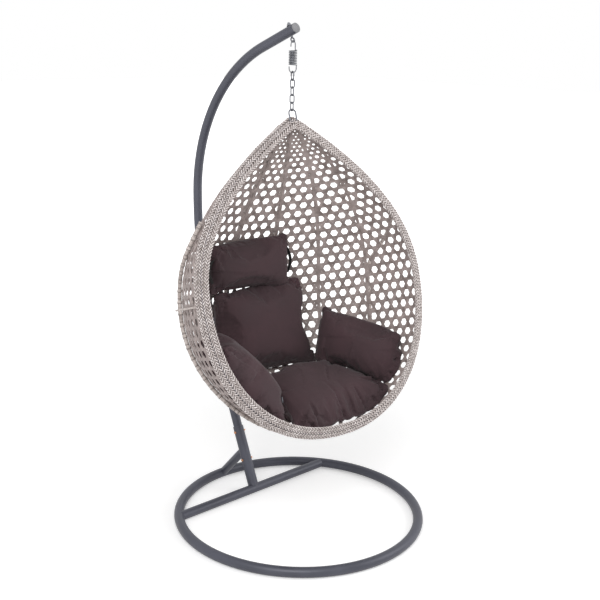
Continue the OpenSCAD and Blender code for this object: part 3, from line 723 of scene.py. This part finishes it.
def nearer_wall(p, high, low):
    """Draw a point to the wall, so that the share of its distance between high and low is left."""
    q = FROM_WALL @ p
    k = beyond(q) + 1
    share = high + (low - high) * min(1, max(0, (-q.z - SLIM_FROM) / SLIM_OVER))
    if 0.001 < k < 1:
        size = (1 - (1 - k) * share) / k
        q = Vector((q.x * size, q.y * (size if q.y > 0 else 1), q.z))
    return BASKET @ q


def inside_wall(p):
    """Bring a point that is outside the wall straight back to it."""
    q = FROM_WALL @ p
    e = SLOPE_STEP
    for attempt in range(TRIES):
        f = beyond(q)
        if f <= 0:
            break
        slope = Vector((beyond(q + Vector((e, 0, 0))), beyond(q + Vector((0, e, 0))),
                        beyond(q + Vector((0, 0, e))))) - Vector((f, f, f))
        slope /= e
        q -= slope * min(LONGEST_STEP / max(1e-6, slope.length),
                         f / max(1e-6, slope.length_squared))
    return BASKET @ q


# the cloth keeps to the pad round the zip's pull
ZIP_CLEAR = 0.030
ZIP_AT = (Vector(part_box("zip_pull")[0]) + Vector(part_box("zip_pull")[1])) / 2
print("slimmed", SLIM, "zip pull at", [round(c, 3) for c in ZIP_AT])

# %% Find the seam and blow the cloth up
# an edge is a seam where its faces meet at more than this angle, and its points are this close
SEAM_ANGLE, SEAM_STEP = 0.9, 0.004
# the size of the even faces, and how near the seam the cloth is held
EVEN, HELD_NEAR = 0.0052, 0.006
# no point is blown further than this, and the frames that the cloth is given
CAP, FRAMES = 0.015, 20


def seam_points(bm):
    sharp = [e.verts for e in bm.edges
             if len(e.link_faces) == 2 and e.calc_face_angle(0) > SEAM_ANGLE]
    points = []
    for p, q in sharp:
        parts = max(1, round((p.co - q.co).length / SEAM_STEP))
        points += [p.co.lerp(q.co, k / parts) for k in range(parts + 1)]
    return points


def blow_up(o, near, rest):
    """Inflate the cloth, held along its seam: near is each point's distance from the seam."""
    held = o.vertex_groups.new(name="seam")
    held.add([k for k, d in enumerate(near) if d < HELD_NEAR], 1.0, "REPLACE")
    sim = o.modifiers.new("Cloth", "CLOTH")
    s = sim.settings
    s.quality = 5
    s.mass = 0.3
    s.tension_stiffness = 12
    s.compression_stiffness = 12
    s.shear_stiffness = 4
    s.bending_stiffness = 0.12
    s.use_pressure = True
    s.uniform_pressure_force = 4
    s.shrink_min = -0.12
    s.effector_weights.gravity = 0
    s.vertex_group_mass = "seam"
    sim.collision_settings.use_collision = False
    sim.point_cache.frame_start, sim.point_cache.frame_end = 1, FRAMES
    scene = bpy.context.scene
    for frame_number in range(1, FRAMES + 1):
        scene.frame_set(frame_number)
    blown = o.evaluated_get(bpy.context.evaluated_depsgraph_get()).data
    moved = [v.co.copy() for v in blown.vertices]
    o.modifiers.clear()
    scene.frame_set(1)
    for v, r, g in zip(o.data.vertices, rest, moved):
        d = g - r
        v.co = r + d * (CAP * math.tanh(d.length / CAP) / d.length if d.length > 1e-7 else 1)


# %% Press the folds in
# how high the pleats, the folds, the seam's swelling, the soft dents and the stitches are
PLEAT_HIGH, FOLD_DEEP, HEM_HIGH, DENT_HIGH, STITCH_DEEP = 0.0062, 0.0190, 0.0095, 0.0030, 0.0024
# how far from the seam each of them reaches
PLEAT_REACH, HEM_REACH, STITCH_REACH = 0.042, 0.018, 0.004
FOLD_LEAST, FOLD_MORE = 0.065, 0.190
# the distance from the seam over which pleats, folds and dents start
PLEAT_START, FOLD_START, DENT_START = 0.010, 0.012, 0.03


def crease(at, d):
    """Folds that run in from the seam point at, d metres away from it."""
    line = max(0, 1 - abs(noise.noise(at * 19)) / 0.20) ** 1.3
    reach = FOLD_LEAST + FOLD_MORE * abs(noise.noise(at * 13 + Vector((7, 3, 1))))
    return line * math.exp(-(d / reach) ** 2) * min(1, d / FOLD_START)


def crumple(me, tree, rest):
    """Pleat, fold and dent the cloth, and keep it inside the wall and off the zip's pull."""
    me.update()
    normals = [v.normal.copy() for v in me.vertices]
    for v, normal, r in zip(me.vertices, normals, rest):
        at, _, d = tree.find(v.co)
        pleat = noise.noise(at * 38) + 0.7 * noise.noise(at * 85)
        dent = noise.noise(v.co * 9) * 0.6 + noise.noise(v.co * 21) * 0.3
        v.co += normal * (PLEAT_HIGH * pleat * math.exp(-d / PLEAT_REACH) * min(1, d / PLEAT_START)
                          - FOLD_DEEP * crease(at, d) + HEM_HIGH * math.exp(-(d / HEM_REACH) ** 2)
                          + DENT_HIGH * dent * min(1, d / DENT_START)
                          - STITCH_DEEP * math.exp(-(d / STITCH_REACH) ** 2))
        v.co = inside_wall(v.co).lerp(r, math.exp(-((r - ZIP_AT).length / ZIP_CLEAR) ** 4))


# %% One cushion


def cushion(name):
    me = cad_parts[name].data.copy()
    me.name = "soft_" + name
    o = bpy.data.objects.new("soft_" + name, me)
    bpy.context.scene.collection.objects.link(o)
    bm = bmesh.new()
    bm.from_mesh(me)
    bmesh.ops.remove_doubles(bm, verts=bm.verts[:], dist=0.00005)
    bm.normal_update()
    seam = seam_points(bm)
    if name in SLIM:
        for v in bm.verts:
            v.co = nearer_wall(v.co, *SLIM[name])
        seam = [nearer_wall(p, *SLIM[name]) for p in seam]
    bm.to_mesh(me)
    bm.free()
    even = o.modifiers.new("Even faces", "REMESH")
    even.mode = "VOXEL"
    even.voxel_size = EVEN
    bpy.context.view_layer.update()
    me = bpy.data.meshes.new_from_object(o.evaluated_get(bpy.context.evaluated_depsgraph_get()))
    o.modifiers.clear()
    o.data = me
    tree = KDTree(max(1, len(seam)))
    for k, p in enumerate(seam):
        tree.insert(p, k)
    tree.balance()
    near = [tree.find(v.co)[2] if seam else 1.0 for v in me.vertices]
    rest = [v.co.copy() for v in me.vertices]
    blow_up(o, near, rest)
    crumple(me, tree, rest)
    me.materials.clear()
    me.materials.append(cloth)
    for p in me.polygons:
        p.use_smooth = True
    smooth = o.modifiers.new("Smooth", "SUBSURF")
    smooth.levels = smooth.render_levels = 1
    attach(o, "basket")
    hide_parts(name)
    print(name, len(me.vertices), "points, seam points", len(seam))


# %% Make the five cushions
SOFT = {
    "seat_cushion": 0.9, "back_cushion": 0.75, "arm_cushion_left": 0.85,
    "arm_cushion_right": 0.8, "head_pillow": 0.8,
}
for name, fill in SOFT.items():
    cushion(name)

# %% [markdown]
# ## The room
# A pale floor, two large soft lamps and a white world show the finishes as they are. The world
# is full white only to the camera and to reflections, so that the metal shows it too, and about
# half as bright as a light.

# %% Floor
FLOOR, BELOW, FLOOR_GREY = 30, 0.0005, 0.93
# how bright the floor looks to the camera near the chair and far away, and the change between
FLOOR_GLOW = (("From Min", 1.0), ("From Max", 4.5), ("To Min", 0.30), ("To Max", 1.0))


def math_node(tree, operation, first, second):
    """A Math node of two sockets: the socket of its result."""
    node = tree.nodes.new("ShaderNodeMath")
    node.operation = operation
    tree.links.new(first, node.inputs[0])
    tree.links.new(second, node.inputs[1])
    return node.outputs["Value"]


pale = bpy.data.materials.new("Pale floor")
pale.use_nodes = True
tree = pale.node_tree
shader = tree.nodes["Principled BSDF"]
shader.inputs["Base Color"].default_value = (FLOOR_GREY, FLOOR_GREY, FLOOR_GREY, 1)
shader.inputs["Roughness"].default_value = 0.9
shader.inputs["Emission Color"].default_value = (1, 1, 1, 1)
where = tree.nodes.new("ShaderNodeTexCoord")
away = tree.nodes.new("ShaderNodeVectorMath")
away.operation = "LENGTH"
fade = tree.nodes.new("ShaderNodeMapRange")
fade.interpolation_type = "SMOOTHSTEP"
for socket, value in FLOOR_GLOW:
    fade.inputs[socket].default_value = value
tree.links.new(where.outputs["Object"], away.inputs[0])
tree.links.new(away.outputs["Value"], fade.inputs["Value"])
ray = tree.nodes.new("ShaderNodeLightPath").outputs
seen = math_node(tree, "MAXIMUM", ray["Is Camera Ray"], ray["Is Glossy Ray"])
seen = math_node(tree, "MAXIMUM", seen, ray["Is Transmission Ray"])
glow = math_node(tree, "MULTIPLY", seen, fade.outputs["Result"])
tree.links.new(glow, shader.inputs["Emission Strength"])
bm = bmesh.new()
bmesh.ops.create_grid(bm, x_segments=1, y_segments=1, size=FLOOR)
bmesh.ops.translate(bm, verts=bm.verts[:], vec=(0, 0, -BELOW))
floor = to_object("floor", bm, pale, smooth=False)

# %% World
# the world's strength as a light, and as the camera and reflections see it
LIT, SEEN = 0.55, 1.0
world = bpy.data.worlds.new("Studio")
bpy.context.scene.world = world
world.use_nodes = True
tree = world.node_tree
background = tree.nodes["Background"]
background.inputs["Color"].default_value = (1, 1, 1, 1)
ray = tree.nodes.new("ShaderNodeLightPath").outputs
seen = math_node(tree, "MAXIMUM", ray["Is Camera Ray"], ray["Is Glossy Ray"])
strength = tree.nodes.new("ShaderNodeMapRange")
strength.inputs["To Min"].default_value = LIT
strength.inputs["To Max"].default_value = SEEN
tree.links.new(seen, strength.inputs["Value"])
tree.links.new(strength.outputs["Result"], background.inputs["Strength"])
print("floor and world ready")

# %% Two soft lamps


def lamp(name, place, aim, size, watts):
    """A square lamp at place that shines at aim."""
    light = bpy.data.lights.new(name, "AREA")
    light.size = size
    light.energy = watts
    o = bpy.data.objects.new(name, light)
    o.location = place
    o.rotation_euler = (Vector(aim) - Vector(place)).to_track_quat("-Z", "Y").to_euler()
    bpy.context.scene.collection.objects.link(o)


AIM = (0, 0, 1.0)
lamp("Key", (-2.8, -2.2, 3.4), AIM, 2.4, 105)
lamp("Fill", (2.6, -2.8, 2.4), AIM, 2.8, 55)

# %% [markdown]
# The camera has a 60 mm lens. It stands in front and to the left, about as high as the top of the
# pole, and looks down by 15 degrees.

# %% Camera
# how far it turns right, tilts up and rolls, in radians, from straight in front of the chair
YAW, TILT, ROLL = -0.003913, -0.263164, 0.0237516
# how far round the chair it is then carried, and its place before that
TURN, CAMERA_AT = math.radians(44.2), Vector((0, -7.6746, 3.9420)) * 0.495
ahead = Vector((math.sin(YAW) * math.cos(TILT), math.cos(YAW) * math.cos(TILT),
                math.sin(TILT)))
level = Vector((math.cos(YAW), -math.sin(YAW), 0))
above = level.cross(ahead)
to_row = Matrix.Rotation(-TURN, 3, "Z")
right = to_row @ (level * math.cos(ROLL) + above * math.sin(ROLL))
up = to_row @ (-level * math.sin(ROLL) + above * math.cos(ROLL))
ahead = to_row @ ahead
place = to_row @ CAMERA_AT
camera = bpy.data.objects.new("Camera", bpy.data.cameras.new("Camera"))
camera.matrix_world = Matrix(((right.x, up.x, -ahead.x, place.x), (right.y, up.y, -ahead.y, place.y),
                              (right.z, up.z, -ahead.z, place.z), (0, 0, 0, 1)))
camera.data.lens, camera.data.sensor_width = 60, 36
bpy.context.scene.collection.objects.link(camera)
bpy.context.scene.camera = camera
bpy.context.scene.view_settings.view_transform = "Standard"
print("camera at", [round(c, 3) for c in place])
